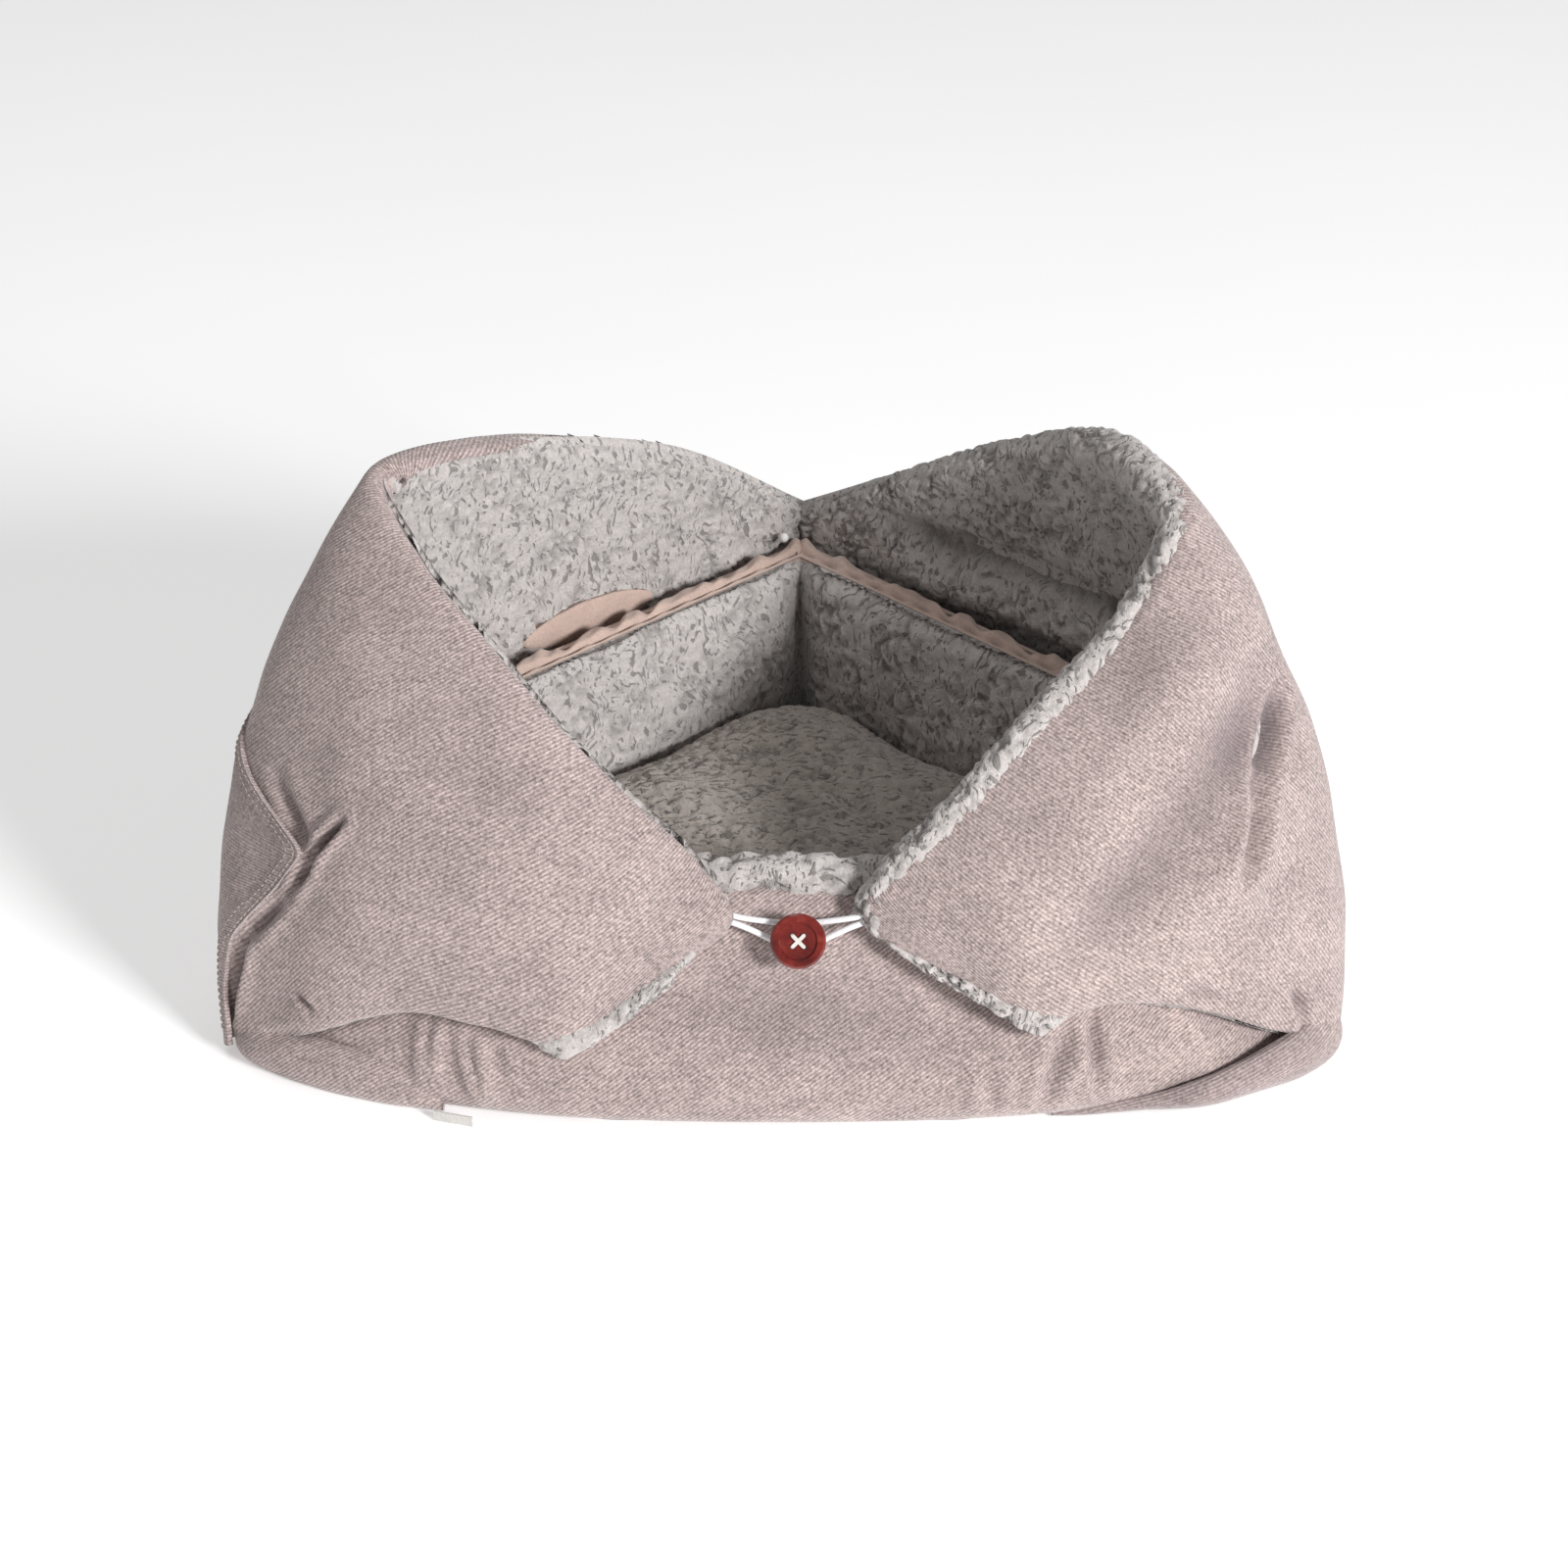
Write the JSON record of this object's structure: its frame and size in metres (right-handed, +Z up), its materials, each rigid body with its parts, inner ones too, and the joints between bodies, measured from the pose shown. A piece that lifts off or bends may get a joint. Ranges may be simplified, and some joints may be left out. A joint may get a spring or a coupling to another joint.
{
  "type": "pet cushion bed",
  "caption": "Padded pet nest with a fleece lining, a loose cushion and a tall collar whose two lapels fold over a low front wall and hook on a button.",
  "frame": {"origin": "on the floor, under the middle of the bed's bounding box", "axes": "+X to the bed's right seen from its front, +Y to its back corner, +Z up"},
  "size_m": [0.5061, 0.354, 0.253],
  "materials": {
    "twill": "brushed pinkish-taupe cloth with a fine diagonal rib",
    "fleece": "grey lambswool-style fleece in small curled clumps",
    "wadding": "white polyester wadding, hidden",
    "tape": "brushed pinkish-beige tape and backing cloth",
    "elastic": "white braided elastic cord",
    "stitching": "pale sewing thread",
    "button": "polished dark red-brown plastic",
    "thread": "dark brown sewing thread",
    "label": "blank white woven label"
  },
  "bodies": {
    "base": {"base_panel": "twill", "base_wadding": "wadding", "floor_lining": "fleece", "front_wall_cover": "twill", "front_wall_wadding": "wadding", "front_wall_lining": "fleece", "left_fence_cover": "tape", "left_fence_wadding": "wadding", "left_fence_lining": "fleece", "left_fence_binding": "tape", "right_fence_cover": "tape", "right_fence_wadding": "wadding", "right_fence_lining": "fleece", "right_fence_binding": "tape", "left_collar_cover": "twill", "left_collar_wadding": "wadding", "left_collar_lining": "fleece", "right_collar_cover": "twill", "right_collar_wadding": "wadding", "right_collar_lining": "fleece", "corner_tack": "stitching", "care_label": "label"},
    "left_lapel": {"left_lapel_cover": "twill", "left_lapel_wadding": "wadding", "left_lapel_lining": "fleece", "left_loop": "elastic", "left_loop_tack": "stitching"},
    "right_lapel": {"right_lapel_cover": "twill", "right_lapel_wadding": "wadding", "right_lapel_lining": "fleece", "right_loop": "elastic", "right_loop_tack": "stitching"},
    "button": {"button": "button", "button_thread": "thread"},
    "cushion": {"cushion_top": "fleece", "cushion_fill": "wadding", "cushion_base": "twill"}
  },
  "joints": [
    {"name": "left_lapel_hinge", "type": "hinge", "parent": "base", "child": "left_lapel", "pos_m": [-0.241, -0.069, 0.13], "axis": [-0.2551, -0.2662, -0.9296], "range_deg": [0, 100], "deforming": ["left_loop"]},
    {"name": "right_lapel_hinge", "type": "hinge", "parent": "base", "child": "right_lapel", "pos_m": [0.24, -0.068, 0.128], "axis": [-0.2985, 0.2442, 0.9226], "range_deg": [0, 100], "deforming": ["right_loop"]},
    {"name": "button_tilt", "type": "hinge", "parent": "base", "child": "button", "pos_m": [0.0061, -0.1422, 0.0794], "axis": [1, 0, 0], "range_deg": [-6, 6]},
    {"name": "cushion_lift", "type": "slide", "parent": "base", "child": "cushion", "axis": [0, 0, 1], "range_m": [0, 0.25]}
  ]
}
